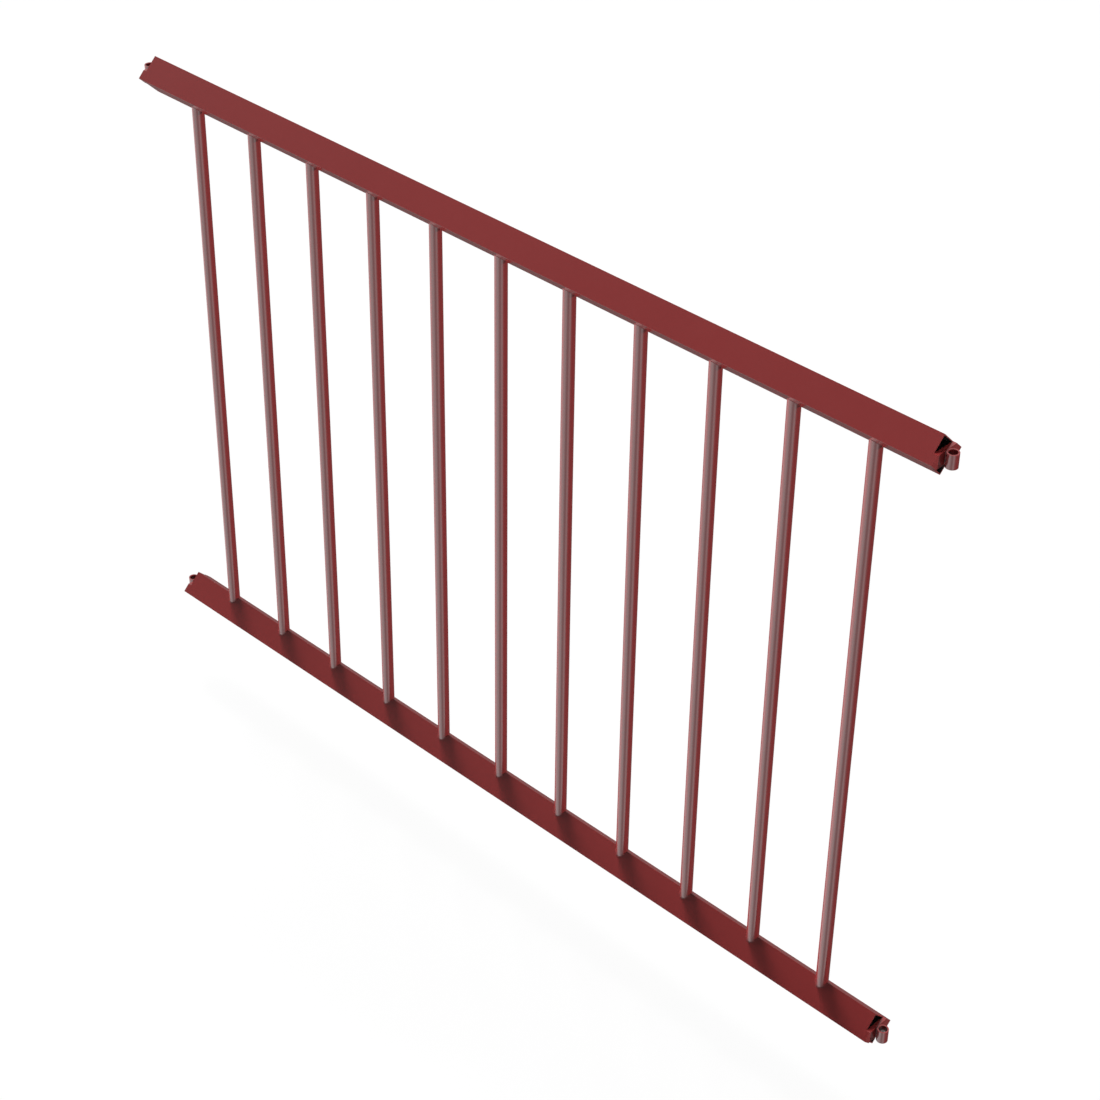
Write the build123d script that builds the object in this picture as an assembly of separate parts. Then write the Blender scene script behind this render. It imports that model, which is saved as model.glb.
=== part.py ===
from build123d import *
import os

# Vertical bar fence panel: two rails of square tube set on edge, round bars between them, and at each rail end
# a flat plate that carries an upright eye for a pin on a post. All pieces are fixed to each other by welding.
# Lengths are in millimetres. +X runs along the rails, +Y to the back and +Z up.
# The origin is on the axis of the lower left eye, level with its flat underside.

BAR_COUNT = 11
BAR_SPACING = 124.0
BAR_DIAMETER = 18.0
BAR_HOLE_CLEARANCE = 0.25
RAIL_SPACING = 930.0
RAIL_OVERHANG = 92.5
TUBE_SIDE = 40.0
TUBE_WALL = 1.5
TUBE_CORNER_RADIUS = 0.3
END_PLATE_THICKNESS = 6.0
END_PLATE_HEIGHT = 20.0
EYE_OUTER_DIAMETER = 16.0
EYE_BORE_DIAMETER = 12.0
EYE_HEIGHT = 20.0
EYE_WELD_GAP = 0.2

RAIL_LENGTH = (BAR_COUNT - 1) * BAR_SPACING + 2 * RAIL_OVERHANG
# Distance from the end of a rail to the axis of its eye.
EYE_REACH = END_PLATE_THICKNESS + EYE_WELD_GAP + EYE_OUTER_DIAMETER / 2

RAIL_START_X = EYE_REACH
RAIL_END_X = RAIL_START_X + RAIL_LENGTH
FIRST_BAR_X = RAIL_START_X + RAIL_OVERHANG
BOTTOM_RAIL_Z = EYE_HEIGHT / 2
TOP_RAIL_Z = BOTTOM_RAIL_Z + RAIL_SPACING


def tube_outline():
    """Outer outline of the tube on edge, in the plane across the rail."""
    return RectangleRounded(TUBE_SIDE, TUBE_SIDE, TUBE_CORNER_RADIUS, rotation=45)


def bar_positions():
    return [FIRST_BAR_X + BAR_SPACING * place for place in range(BAR_COUNT)]


def rail(axis_z, towards_bars):
    """A tube on edge, with a round hole for each bar through the corner that faces the other rail."""
    tube_hollow = Rectangle(TUBE_SIDE - 2 * TUBE_WALL, TUBE_SIDE - 2 * TUBE_WALL, rotation=45)
    section = Plane.YZ * (tube_outline() - tube_hollow)
    body = Pos(RAIL_START_X, 0, axis_z) * extrude(section, amount=RAIL_LENGTH, dir=(1, 0, 0))
    hole_radius = BAR_DIAMETER / 2 + BAR_HOLE_CLEARANCE
    for bar_x in bar_positions():
        hole_middle_z = axis_z + towards_bars * TUBE_SIDE / 2
        body -= Pos(bar_x, 0, hole_middle_z) * Cylinder(hole_radius, TUBE_SIDE)
    return body


def bar(bar_x):
    """A round bar that ends inside the tubes, on their axes."""
    middle_z = (BOTTOM_RAIL_Z + TOP_RAIL_Z) / 2
    return Pos(bar_x, 0, middle_z) * Cylinder(BAR_DIAMETER / 2, RAIL_SPACING)


def end_plate(rail_end_x, outward, axis_z):
    """Flat bar across a rail's end, its ends flush with the tube's sloping sides."""
    section = Plane.YZ * (tube_outline() & Rectangle(2 * TUBE_SIDE, END_PLATE_HEIGHT))
    plate = extrude(section, amount=END_PLATE_THICKNESS, dir=(outward, 0, 0))
    return Pos(rail_end_x, 0, axis_z) * plate


def eye(rail_end_x, outward, axis_z):
    """Short upright tube beside the middle of an end plate."""
    ring = Cylinder(EYE_OUTER_DIAMETER / 2, EYE_HEIGHT) - Cylinder(EYE_BORE_DIAMETER / 2, EYE_HEIGHT)
    return Pos(rail_end_x + outward * EYE_REACH, 0, axis_z) * ring


nodes = {
    "top_rail": rail(TOP_RAIL_Z, -1),
    "bottom_rail": rail(BOTTOM_RAIL_Z, 1),
}
for number, position in enumerate(bar_positions(), start=1):
    nodes[f"bar_{number:02d}"] = bar(position)
for level, axis_height in (("upper", TOP_RAIL_Z), ("lower", BOTTOM_RAIL_Z)):
    for side, end_x, direction in (("left", RAIL_START_X, -1), ("right", RAIL_END_X, 1)):
        nodes[f"{level}_{side}_end_plate"] = end_plate(end_x, direction, axis_height)
        nodes[f"{level}_{side}_eye"] = eye(end_x, direction, axis_height)

os.makedirs("parts", exist_ok=True)
for name, solid in nodes.items():
    solid.label = name
    export_step(solid, f"parts/{name}.step")
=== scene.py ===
import math

import bmesh
import bpy
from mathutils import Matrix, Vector


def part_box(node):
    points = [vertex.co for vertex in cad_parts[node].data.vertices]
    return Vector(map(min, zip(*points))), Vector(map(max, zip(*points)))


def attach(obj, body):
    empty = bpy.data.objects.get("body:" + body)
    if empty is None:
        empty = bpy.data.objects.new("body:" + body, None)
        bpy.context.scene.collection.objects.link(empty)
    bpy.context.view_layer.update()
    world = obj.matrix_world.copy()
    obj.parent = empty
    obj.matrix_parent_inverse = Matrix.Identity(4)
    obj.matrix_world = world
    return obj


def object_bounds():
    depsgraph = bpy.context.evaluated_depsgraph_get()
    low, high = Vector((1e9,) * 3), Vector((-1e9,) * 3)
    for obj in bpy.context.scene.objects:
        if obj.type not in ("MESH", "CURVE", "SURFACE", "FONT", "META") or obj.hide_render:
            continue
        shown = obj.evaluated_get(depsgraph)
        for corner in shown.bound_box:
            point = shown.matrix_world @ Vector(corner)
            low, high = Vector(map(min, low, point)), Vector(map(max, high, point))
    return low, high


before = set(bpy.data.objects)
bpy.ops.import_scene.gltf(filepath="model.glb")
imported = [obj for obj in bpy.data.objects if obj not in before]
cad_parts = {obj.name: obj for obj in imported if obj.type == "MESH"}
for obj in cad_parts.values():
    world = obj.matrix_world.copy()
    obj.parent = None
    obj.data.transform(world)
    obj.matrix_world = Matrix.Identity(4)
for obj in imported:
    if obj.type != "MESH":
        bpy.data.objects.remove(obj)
cad_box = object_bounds()

# Lengths are in metres, unless a name ends in MM or PX. Azimuths run from +X towards +Y.

# Camera: the photograph is a view along a cube's diagonal, cropped off centre.
PHOTO_SIDE_PX = 1100
FOCAL_LENGTH_PX = 2565.9
PRINCIPAL_POINT_PX = (501.1, 532.3)
SENSOR_WIDTH_MM = 36.0
CAMERA_OFFSET_EACH_WAY = 2.0838

# Studio: a glowing white floor and wall, five far lights, a softbox and soft light from all round.
FLOOR_DROP = 0.12
FLOOR_SIZE = 60.0
FLOOR_COLOUR = (0.02, 0.02, 0.02, 1.0)
FLOOR_GLOW = 0.95
WALL_RADIUS = 28.0
WALL_HEIGHT = 40.0
WALL_STEPS = 64
WALL_COLOUR = (0.0, 0.0, 0.0, 1.0)
WALL_GLOW = 1.0
GLOW_COLOUR = (1.0, 1.0, 1.0, 1.0)
STAGE_ROUGHNESS = 0.9
# Far lights: name, then azimuth, elevation and spread in degrees, and strength.
FAR_LIGHTS = (
    ("key_light", 151.0, 61.0, 10.0, 4.6),
    ("back_light", 164.0, 42.0, 34.0, 4.75),
    ("right_light", 35.0, 12.0, 6.0, 4.8),
    ("left_light", 188.0, -7.0, 12.0, 13.5),
    ("front_light", -66.0, -24.0, 90.0, 1.3),
)
# Softbox over the top rail: its length and width, its place from the rail's middle, and its power.
SOFTBOX_SIZE = (2.0, 0.4)
SOFTBOX_OFFSET = Vector((0.3, -0.45, 0.75))
SOFTBOX_POWER = 3.0
# Brightness of the surrounding by azimuth in degrees, in rings above, at and below eye level.
UPPER_LIGHTS = (
    (-180, 0.9), (-165, 0.6), (-150, 0.25), (-138, 0.15), (-129, 0.155), (-116, 0.05),
    (-95, 0.1), (-45, 0.15), (0, 0.2), (60, 0.3), (120, 0.55), (180, 0.9),
)
LEVEL_LIGHTS = (
    (-180, 1.0), (-150, 0.8), (-138, 0.4), (-60, 0.3), (-15, 0.4), (30, 0.5), (140, 0.5), (180, 1.0),
)
LOWER_LIGHTS = (
    (-180, 1.1), (-162, 1.35), (-148, 1.38), (-134, 1.46), (-118, 1.66), (-106, 1.75), (-94, 1.56),
    (-83, 1.22), (-73, 0.9), (-64, 0.74), (-57, 0.74), (-48, 0.95), (-37, 1.33), (-28, 1.4), (-19, 0.97),
    (-8, 0.46), (8, 0.2), (30, 0.08), (110, 0.1), (150, 0.12), (168, 0.45), (180, 1.1),
)
LIGHTS_SCALE = 1.8
ZENITH_LIGHT = 0.3
NADIR_LIGHT = 0.3
# Heights on the unit sphere between which one ring gives way to the next, from the nadir to the zenith.
LIGHT_RING_CHANGES = ((-0.95, -0.80), (-0.32, -0.18), (0.18, 0.32), (0.70, 0.95))

# Paint: two dark reds that drift into each other, a gloss that varies a little, and a fine grain.
RED_LIGHT = (0.120, 0.0130, 0.0130, 1.0)
RED_DARK = (0.110, 0.0118, 0.0118, 1.0)
PAINT_IOR = 1.8
PAINT_ROUGHNESS = (0.13, 0.18)
# Noise in the paint: scale and detail of each pattern.
COLOUR_NOISE = (9.0, 3.0)
ROUGHNESS_NOISE = (35.0, 2.0)
GRAIN_NOISE = (420.0, 1.0)
# Noise levels between which the roughness goes from its low to its high value.
ROUGHNESS_NOISE_SPAN = (0.3, 0.7)
GRAIN_STRENGTH = 0.025
GRAIN_HEIGHT = 0.001
# Bare steel inside the tubes, made near black as painted shade, out to a little more than half the width
# between their inner faces.
BARE_STEEL_PAINTED_SHADE = (0.012, 0.011, 0.011, 1.0)
BARE_ROUGHNESS = 0.75
TUBE_HALF_INSIDE = 0.0187

# Weld beads: rings where the bars enter the rails, and upright runs between the eyes and their plates.
TUBE_HALF_DIAGONAL = 0.02828
RING_BEAD_RADIUS = 0.0006
RING_RIDGE_ROUNDING = 0.0006
RING_STEPS = 96
RING_RIPPLES = 22
# Turn of a ring's ripples for each metre along the rail, in radians, so that no two rings are alike.
RING_RIPPLE_TURN = 90.0
EYE_BEAD_RADIUS = 0.0005
EYE_BEAD_STANDOFF = 0.0003
EYE_BEAD_SIDE_SHIFT = 0.0026
EYE_BEAD_END_MARGIN = 0.0008
# Share of the radius that is left at the two ends of a run.
EYE_BEAD_END_SHARE = 0.2
EYE_BEAD_RIPPLES = 11
EYE_BEAD_STEPS = 66
BEAD_SIDES = 12
BEAD_RIPPLE_DEPTH = 0.07

UP = Vector((0.0, 0.0, 1.0))
TO_BACK = Vector((0.0, 1.0, 0.0))


def panel_middle():
    """The point half way between the rails and half way along them."""
    top_low, top_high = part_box("top_rail")
    bottom_low, bottom_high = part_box("bottom_rail")
    return (top_low + top_high + bottom_low + bottom_high) / 4


def axis_height(rail_name):
    low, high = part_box(rail_name)
    return (low.z + high.z) / 2


def add_camera():
    data = bpy.data.cameras.new("camera")
    data.sensor_width = SENSOR_WIDTH_MM
    data.lens = SENSOR_WIDTH_MM * FOCAL_LENGTH_PX / PHOTO_SIDE_PX
    data.shift_x = (PHOTO_SIDE_PX / 2 - PRINCIPAL_POINT_PX[0]) / PHOTO_SIDE_PX
    data.shift_y = (PRINCIPAL_POINT_PX[1] - PHOTO_SIDE_PX / 2) / PHOTO_SIDE_PX
    camera = bpy.data.objects.new("camera", data)
    bpy.context.scene.collection.objects.link(camera)
    diagonal = Vector((1.0, -1.0, 1.0))
    camera.location = panel_middle() + CAMERA_OFFSET_EACH_WAY * diagonal
    camera.rotation_mode = "QUATERNION"
    camera.rotation_quaternion = (-diagonal).to_track_quat("-Z", "Y")
    bpy.context.scene.camera = camera


def feed(links, socket, value):
    """Sets a socket to a fixed number or colour, or links it to another socket."""
    if isinstance(value, (float, tuple)):
        socket.default_value = value
    else:
        links.new(value, socket)


def calculate(nodes, links, operation, *values):
    node = nodes.new("ShaderNodeMath")
    node.operation = operation
    for socket, value in zip(node.inputs, values):
        feed(links, socket, value)
    return node.outputs[0]


def mix(nodes, links, data_type, factor, low, high):
    """Goes from low to high as the factor goes from 0 to 1."""
    node = nodes.new("ShaderNodeMix")
    node.data_type = data_type
    links.new(factor, node.inputs["Factor"])
    feed(links, node.inputs["A"], low)
    feed(links, node.inputs["B"], high)
    return node.outputs["Result"]


def map_range(nodes, links, value, span, results=(0.0, 1.0), interpolation="LINEAR"):
    """Maps the span onto the results, and stays at the nearer result outside the span."""
    node = nodes.new("ShaderNodeMapRange")
    node.interpolation_type = interpolation
    links.new(value, node.inputs["Value"])
    for socket, number in zip(("From Min", "From Max", "To Min", "To Max"), span + results):
        node.inputs[socket].default_value = number
    return node.outputs["Result"]


def noise(nodes, links, position, scale, detail):
    node = nodes.new("ShaderNodeTexNoise")
    links.new(position, node.inputs["Vector"])
    node.inputs["Scale"].default_value = scale
    node.inputs["Detail"].default_value = detail
    return node.outputs["Fac"]


def inside_tube_mask(nodes, links, position, axis_z):
    """1 on the walls inside a tube on edge whose axis is at this height, 0 outside it."""
    parts = nodes.new("ShaderNodeSeparateXYZ")
    links.new(position, parts.inputs[0])
    height = calculate(nodes, links, "SUBTRACT", parts.outputs["Z"], axis_z)
    reach_sideways = calculate(nodes, links, "ABSOLUTE", parts.outputs["Y"])
    reach_upright = calculate(nodes, links, "ABSOLUTE", height)
    reach = calculate(nodes, links, "ADD", reach_sideways, reach_upright)
    return calculate(nodes, links, "LESS_THAN", reach, TUBE_HALF_INSIDE * math.sqrt(2))


def new_material(name):
    material = bpy.data.materials.new(name)
    material.use_nodes = True
    return material


def red_paint(name, bare_painted_shade_inside_at=None):
    """Dark red gloss paint, and where a tube's axis height is given, bare dark steel inside the tube,
    made near black as painted shade.
    """
    material = new_material(name)
    nodes = material.node_tree.nodes
    links = material.node_tree.links
    position = nodes.new("ShaderNodeTexCoord").outputs["Object"]
    colour_noise = noise(nodes, links, position, *COLOUR_NOISE)
    colour = mix(nodes, links, "RGBA", colour_noise, RED_DARK, RED_LIGHT)
    roughness_noise = noise(nodes, links, position, *ROUGHNESS_NOISE)
    roughness = map_range(nodes, links, roughness_noise, ROUGHNESS_NOISE_SPAN, PAINT_ROUGHNESS)
    if bare_painted_shade_inside_at is not None:
        inside = inside_tube_mask(nodes, links, position, bare_painted_shade_inside_at)
        # The near-black colour of the bare steel inside the tube is painted shade, for the deep shadow
        # there.
        colour = mix(nodes, links, "RGBA", inside, colour, BARE_STEEL_PAINTED_SHADE)
        roughness = mix(nodes, links, "FLOAT", inside, roughness, BARE_ROUGHNESS)
    grain = nodes.new("ShaderNodeBump")
    links.new(noise(nodes, links, position, *GRAIN_NOISE), grain.inputs["Height"])
    grain.inputs["Strength"].default_value = GRAIN_STRENGTH
    grain.inputs["Distance"].default_value = GRAIN_HEIGHT
    shader = nodes["Principled BSDF"]
    shader.inputs["IOR"].default_value = PAINT_IOR
    links.new(colour, shader.inputs["Base Color"])
    links.new(roughness, shader.inputs["Roughness"])
    links.new(grain.outputs["Normal"], shader.inputs["Normal"])
    return material


def paint_nodes(paint):
    """The same paint on every piece; each rail has its own, which leaves the tube's inside bare and
    paints it near black as painted shade.
    """
    for name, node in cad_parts.items():
        if name.endswith("_rail"):
            node.material_slots[0].material = red_paint(f"{name}_paint", axis_height(name))
        else:
            node.material_slots[0].material = paint


def add_stage_piece(name, corners, faces, colour, glow):
    """A pale glowing piece of the studio that neither lights the panel nor shows in its gloss."""
    mesh = bpy.data.meshes.new(name)
    mesh.from_pydata(corners, [], faces)
    piece = bpy.data.objects.new(name, mesh)
    bpy.context.scene.collection.objects.link(piece)
    piece.location = (0, 0, cad_box[0].z - FLOOR_DROP)
    piece.visible_glossy = False
    piece.visible_diffuse = False
    piece.visible_shadow = False
    material = new_material(f"pale_{name}")
    shader = material.node_tree.nodes["Principled BSDF"]
    shader.inputs["Base Color"].default_value = colour
    shader.inputs["Roughness"].default_value = STAGE_ROUGHNESS
    shader.inputs["Specular IOR Level"].default_value = 0.0
    shader.inputs["Emission Color"].default_value = GLOW_COLOUR
    shader.inputs["Emission Strength"].default_value = glow
    mesh.materials.append(material)


def add_floor():
    half = FLOOR_SIZE / 2
    corners = [(-half, -half, 0), (half, -half, 0), (half, half, 0), (-half, half, 0)]
    add_stage_piece("floor", corners, [(0, 1, 2, 3)], FLOOR_COLOUR, FLOOR_GLOW)


def add_wall():
    """A round white wall far from the panel, so that low views see no edge of the floor."""
    corners = []
    faces = []
    for step in range(WALL_STEPS):
        angle = 2 * math.pi * step / WALL_STEPS
        for height in (0.0, WALL_HEIGHT):
            corners.append((WALL_RADIUS * math.cos(angle), WALL_RADIUS * math.sin(angle), height))
        following = (step + 1) % WALL_STEPS
        faces.append((2 * step, 2 * step + 1, 2 * following + 1, 2 * following))
    add_stage_piece("wall", corners, faces, WALL_COLOUR, WALL_GLOW)


def add_light(data, towards):
    """A light that shines from this direction and doesn't show in the panel's gloss."""
    light = bpy.data.objects.new(data.name, data)
    bpy.context.scene.collection.objects.link(light)
    light.visible_glossy = False
    light.rotation_mode = "QUATERNION"
    light.rotation_quaternion = (-towards).to_track_quat("-Z", "Y")
    return light


def add_far_light(name, azimuth, elevation, spread, strength):
    data = bpy.data.lights.new(name, "SUN")
    data.angle = math.radians(spread)
    data.energy = strength
    turn = math.radians(azimuth)
    rise = math.radians(elevation)
    level_reach = math.cos(rise)
    add_light(data, Vector((level_reach * math.cos(turn), level_reach * math.sin(turn), math.sin(rise))))


def add_softbox():
    """A long soft light close over the top rail, which hardly reaches the bottom rail."""
    data = bpy.data.lights.new("softbox", "AREA")
    data.shape = "RECTANGLE"
    data.size, data.size_y = SOFTBOX_SIZE
    data.energy = SOFTBOX_POWER
    light = add_light(data, Vector((0.0, SOFTBOX_OFFSET.y, SOFTBOX_OFFSET.z)))
    light.visible_camera = False
    rail_low, rail_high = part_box("top_rail")
    light.location = (rail_low + rail_high) / 2 + SOFTBOX_OFFSET


def level_colour(level):
    share = level / LIGHTS_SCALE
    return (share, share, share, 1.0)


def light_ring(nodes, links, turn, lights):
    """Grey levels round the horizon, as shares of LIGHTS_SCALE."""
    ramp = nodes.new("ShaderNodeValToRGB")
    links.new(turn, ramp.inputs["Fac"])
    stops = ramp.color_ramp.elements
    # New stops start half way along, and all get their places below.
    while len(stops) < len(lights):
        stops.new(0.5)
    for stop, (degrees, level) in zip(stops, lights):
        stop.position = (degrees + 180.0) / 360.0
        stop.color = level_colour(level)
    return ramp.outputs["Color"]


def add_world():
    world = bpy.data.worlds.new("studio")
    world.use_nodes = True
    nodes = world.node_tree.nodes
    links = world.node_tree.links
    direction = nodes.new("ShaderNodeTexCoord").outputs["Generated"]
    parts = nodes.new("ShaderNodeSeparateXYZ")
    links.new(direction, parts.inputs[0])
    azimuth = calculate(nodes, links, "ARCTAN2", parts.outputs["Y"], parts.outputs["X"])
    turn = map_range(nodes, links, azimuth, (-math.pi, math.pi))

    rings = [level_colour(NADIR_LIGHT)]
    for lights in (LOWER_LIGHTS, LEVEL_LIGHTS, UPPER_LIGHTS):
        rings.append(light_ring(nodes, links, turn, lights))
    rings.append(level_colour(ZENITH_LIGHT))
    colour = rings[0]
    for ring, span in zip(rings[1:], LIGHT_RING_CHANGES):
        share = map_range(nodes, links, parts.outputs["Z"], span, interpolation="SMOOTHSTEP")
        colour = mix(nodes, links, "RGBA", share, colour, ring)
    background = nodes["Background"]
    links.new(colour, background.inputs["Color"])
    background.inputs["Strength"].default_value = LIGHTS_SCALE
    bpy.context.scene.world = world


def bead_sections_to_mesh(bm, sections, closed):
    """Skins a run of rings of points; an open run gets a flat face at each end."""
    rings = []
    for points in sections:
        rings.append([bm.verts.new(point) for point in points])
    pairs = list(zip(rings, rings[1:]))
    if closed:
        pairs.append((rings[-1], rings[0]))
    for ring, following in pairs:
        for side in range(BEAD_SIDES):
            beside = (side + 1) % BEAD_SIDES
            bm.faces.new((ring[side], ring[beside], following[beside], following[side]))
    if not closed:
        bm.faces.new(rings[0])
        bm.faces.new(rings[-1])


def bead_circle(middle, across, upward, radius):
    points = []
    for side in range(BEAD_SIDES):
        angle = 2 * math.pi * side / BEAD_SIDES
        points.append(middle + radius * (math.cos(angle) * across + math.sin(angle) * upward))
    return points


def ring_bead_sections(bar_x, bar_radius, axis_z, towards_bars):
    """Rings of points along the line where a round bar enters the ridge of a tube on edge."""
    sections = []
    for step in range(RING_STEPS):
        angle = 2 * math.pi * step / RING_STEPS
        outward = Vector((math.cos(angle), math.sin(angle), 0.0))
        slope_reach = math.hypot(bar_radius * outward.y, RING_RIDGE_ROUNDING)
        middle = Vector((bar_x, 0.0, axis_z + towards_bars * (TUBE_HALF_DIAGONAL - slope_reach)))
        middle += bar_radius * outward
        ripple = 1.0 + BEAD_RIPPLE_DEPTH * math.sin(RING_RIPPLES * angle + RING_RIPPLE_TURN * bar_x)
        sections.append(bead_circle(middle, outward, UP, RING_BEAD_RADIUS * ripple))
    return sections


def eye_bead_sections(foot, outward, length):
    """Rings of points up one side of an eye, with the run's two ends drawn in."""
    sections = []
    for step in range(EYE_BEAD_STEPS + 1):
        share = step / EYE_BEAD_STEPS
        ripple = 1.0 + BEAD_RIPPLE_DEPTH * math.sin(2 * math.pi * EYE_BEAD_RIPPLES * share)
        end_distance = min(share, 1.0 - share) * length
        inside_end = min(end_distance / EYE_BEAD_RADIUS, 1.0)
        taper = max(math.sqrt(1.0 - (1.0 - inside_end) ** 2), EYE_BEAD_END_SHARE)
        middle = foot + share * length * UP
        sections.append(bead_circle(middle, outward, TO_BACK, EYE_BEAD_RADIUS * ripple * taper))
    return sections


def add_beads(name, runs, material):
    """One piece from several bead runs, each given as sections and whether it closes on itself."""
    bm = bmesh.new()
    for sections, closed in runs:
        bead_sections_to_mesh(bm, sections, closed)
    bmesh.ops.recalc_face_normals(bm, faces=bm.faces)
    for face in bm.faces:
        face.smooth = True
    mesh = bpy.data.meshes.new(name)
    bm.to_mesh(mesh)
    bm.free()
    mesh.materials.append(material)
    piece = bpy.data.objects.new(name, mesh)
    bpy.context.scene.collection.objects.link(piece)
    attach(piece, "root")


def add_rail_welds(material):
    bars = sorted(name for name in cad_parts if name.startswith("bar_"))
    for rail_name, towards_bars in (("top_rail", -1), ("bottom_rail", 1)):
        axis_z = axis_height(rail_name)
        runs = []
        for bar_name in bars:
            low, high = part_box(bar_name)
            bar_x = (low.x + high.x) / 2
            bar_radius = (high.x - low.x) / 2
            runs.append((ring_bead_sections(bar_x, bar_radius, axis_z, towards_bars), True))
        add_beads(f"{rail_name}_welds", runs, material)


def add_eye_welds(material):
    for level in ("upper", "lower"):
        for side, outward in (("left", -1.0), ("right", 1.0)):
            plate_low, plate_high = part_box(f"{level}_{side}_end_plate")
            face_x = plate_high.x if outward > 0 else plate_low.x
            foot_z = plate_low.z + EYE_BEAD_END_MARGIN
            length = plate_high.z - plate_low.z - 2 * EYE_BEAD_END_MARGIN
            runs = []
            for shift in (-EYE_BEAD_SIDE_SHIFT, EYE_BEAD_SIDE_SHIFT):
                foot = Vector((face_x + outward * EYE_BEAD_STANDOFF, shift, foot_z))
                runs.append((eye_bead_sections(foot, Vector((outward, 0.0, 0.0)), length), False))
            add_beads(f"{level}_{side}_eye_welds", runs, material)


add_camera()
add_floor()
add_wall()
for far_light in FAR_LIGHTS:
    add_far_light(*far_light)
add_softbox()
add_world()
gloss_paint = red_paint("red_gloss_paint")
paint_nodes(gloss_paint)
add_rail_welds(gloss_paint)
add_eye_welds(gloss_paint)

# Colours are shown as they are, with no film curve.
bpy.context.scene.view_settings.view_transform = "Standard"
